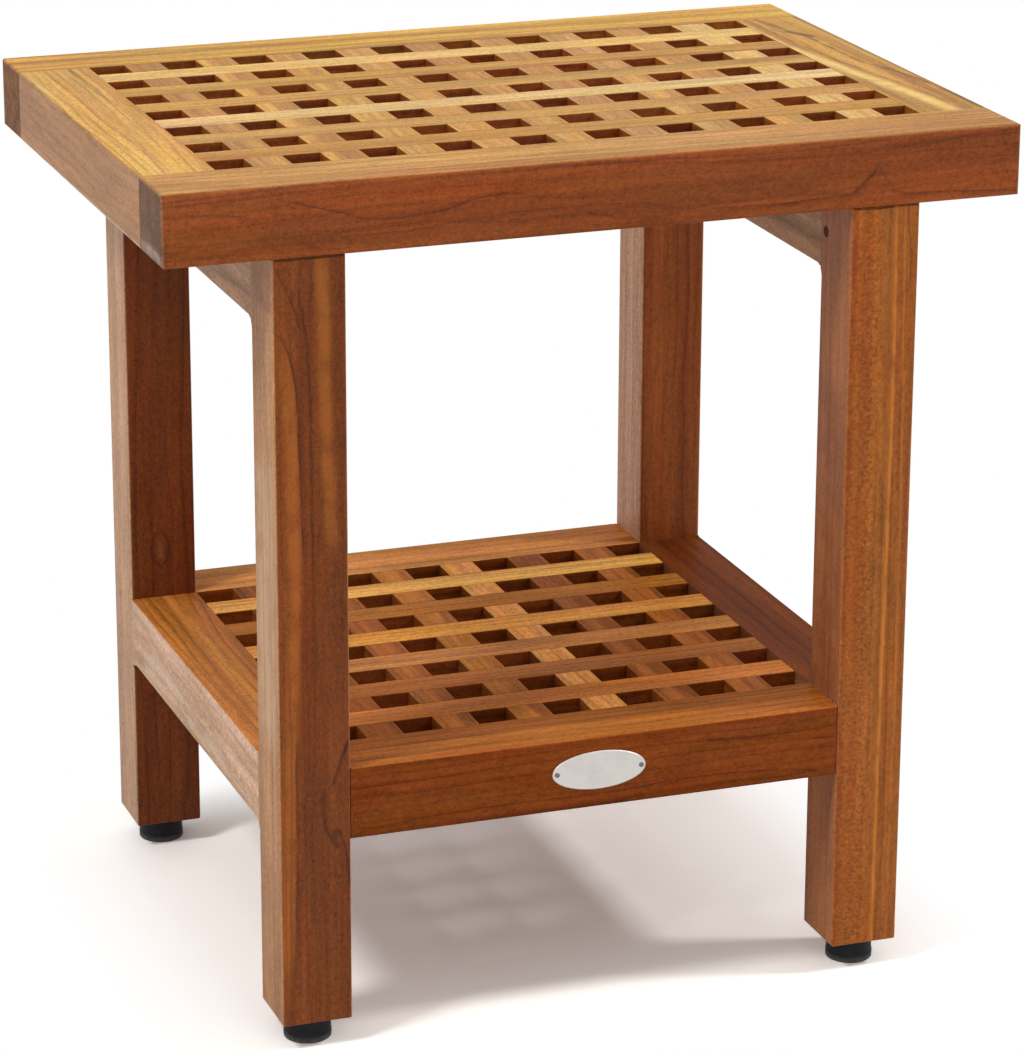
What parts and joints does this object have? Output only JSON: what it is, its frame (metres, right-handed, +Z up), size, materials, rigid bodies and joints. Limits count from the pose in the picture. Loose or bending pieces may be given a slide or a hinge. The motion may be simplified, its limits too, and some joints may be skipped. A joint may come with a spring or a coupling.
{
  "type": "teak shower bench",
  "caption": "Teak shower bench with a half-lapped grate seat, a lower grate shelf, square legs and screw-in levelling feet with rubber pads.",
  "frame": {"origin": "on the floor, under the middle of the bench, with the feet screwed in", "axes": "+X to the right along the bench's length, +Y to the back, +Z up; the side with the oval plate faces -Y"},
  "size_m": [0.453, 0.3256, 0.457],
  "materials": {
    "teak_top_rail": "oiled teak, satin, golden brown with dark veins",
    "teak_top_slat": "sanded teak, golden tan",
    "teak_leg": "oiled teak, satin, reddish brown",
    "teak_shelf_rail": "oiled teak, satin, red brown",
    "teak_shelf_slat": "sanded teak, orange brown",
    "teak_peg": "dark end grain",
    "plate_steel": "fine satin, bare",
    "pin_steel": "dull",
    "insert_brass": "turned",
    "stem_steel": "zinc plated thread",
    "pad_rubber": "matte moulded rubber"
  },
  "bodies": {
    "frame": {"top_front_rail": "teak_top_rail", "top_back_rail": "teak_top_rail", "top_left_rail": "teak_top_rail", "top_right_rail": "teak_top_rail", "top_slat_1": "teak_top_slat", "top_slat_2": "teak_top_slat", "top_slat_3": "teak_top_slat", "top_slat_4": "teak_top_slat", "top_slat_5": "teak_top_slat", "top_slat_6": "teak_top_slat", "top_cross_slat_1": "teak_top_slat", "top_cross_slat_2": "teak_top_slat", "top_cross_slat_3": "teak_top_slat", "top_cross_slat_4": "teak_top_slat", "top_cross_slat_5": "teak_top_slat", "top_cross_slat_6": "teak_top_slat", "top_cross_slat_7": "teak_top_slat", "top_cross_slat_8": "teak_top_slat", "top_cross_slat_9": "teak_top_slat", "leg_front_left": "teak_leg", "leg_front_right": "teak_leg", "leg_back_left": "teak_leg", "leg_back_right": "teak_leg", "apron_left": "teak_leg", "apron_right": "teak_leg", "shelf_front_rail": "teak_shelf_rail", "shelf_back_rail": "teak_shelf_rail", "shelf_left_rail": "teak_shelf_rail", "shelf_right_rail": "teak_shelf_rail", "shelf_slat_1": "teak_shelf_slat", "shelf_slat_2": "teak_shelf_slat", "shelf_slat_3": "teak_shelf_slat", "shelf_slat_4": "teak_shelf_slat", "shelf_slat_5": "teak_shelf_slat", "shelf_slat_6": "teak_shelf_slat", "shelf_cross_slat_1": "teak_shelf_slat", "shelf_cross_slat_2": "teak_shelf_slat", "shelf_cross_slat_3": "teak_shelf_slat", "shelf_cross_slat_4": "teak_shelf_slat", "shelf_cross_slat_5": "teak_shelf_slat", "shelf_cross_slat_6": "teak_shelf_slat", "apron_pegs": "teak_peg", "shelf_pegs": "teak_peg", "leg_top_pegs": "teak_peg", "nameplate": "plate_steel", "nameplate_pins": "pin_steel", "foot_inserts": "insert_brass"},
    "stem_front_left": {"foot_stem_front_left": "stem_steel"},
    "pad_front_left": {"foot_pad_front_left": "pad_rubber"},
    "stem_front_right": {"foot_stem_front_right": "stem_steel"},
    "pad_front_right": {"foot_pad_front_right": "pad_rubber"},
    "stem_back_left": {"foot_stem_back_left": "stem_steel"},
    "pad_back_left": {"foot_pad_back_left": "pad_rubber"},
    "stem_back_right": {"foot_stem_back_right": "stem_steel"},
    "pad_back_right": {"foot_pad_back_right": "pad_rubber"}
  },
  "joints": [
    {"name": "foot_rise_front_left", "type": "slide", "parent": "frame", "child": "stem_front_left", "axis": [0, 0, -1], "range_m": [0, 0.01]},
    {"name": "foot_turn_front_left", "type": "hinge", "parent": "stem_front_left", "child": "pad_front_left", "pos_m": [-0.15275, -0.1425, 0], "axis": [0, 0, -1], "range_deg": [0, 2880]},
    {"name": "foot_rise_front_right", "type": "slide", "parent": "frame", "child": "stem_front_right", "axis": [0, 0, -1], "range_m": [0, 0.01]},
    {"name": "foot_turn_front_right", "type": "hinge", "parent": "stem_front_right", "child": "pad_front_right", "pos_m": [0.15275, -0.1425, 0], "axis": [0, 0, -1], "range_deg": [0, 2880]},
    {"name": "foot_rise_back_left", "type": "slide", "parent": "frame", "child": "stem_back_left", "axis": [0, 0, -1], "range_m": [0, 0.01]},
    {"name": "foot_turn_back_left", "type": "hinge", "parent": "stem_back_left", "child": "pad_back_left", "pos_m": [-0.15275, 0.1425, 0], "axis": [0, 0, -1], "range_deg": [0, 2880]},
    {"name": "foot_rise_back_right", "type": "slide", "parent": "frame", "child": "stem_back_right", "axis": [0, 0, -1], "range_m": [0, 0.01]},
    {"name": "foot_turn_back_right", "type": "hinge", "parent": "stem_back_right", "child": "pad_back_right", "pos_m": [0.15275, 0.1425, 0], "axis": [0, 0, -1], "range_deg": [0, 2880]}
  ],
  "couplings": [
    {"joint": "foot_turn_front_left", "follows": "foot_rise_front_left", "rad_per_m": 5026.5},
    {"joint": "foot_turn_front_right", "follows": "foot_rise_front_right", "rad_per_m": 5026.5},
    {"joint": "foot_turn_back_left", "follows": "foot_rise_back_left", "rad_per_m": 5026.5},
    {"joint": "foot_turn_back_right", "follows": "foot_rise_back_right", "rad_per_m": 5026.5}
  ]
}
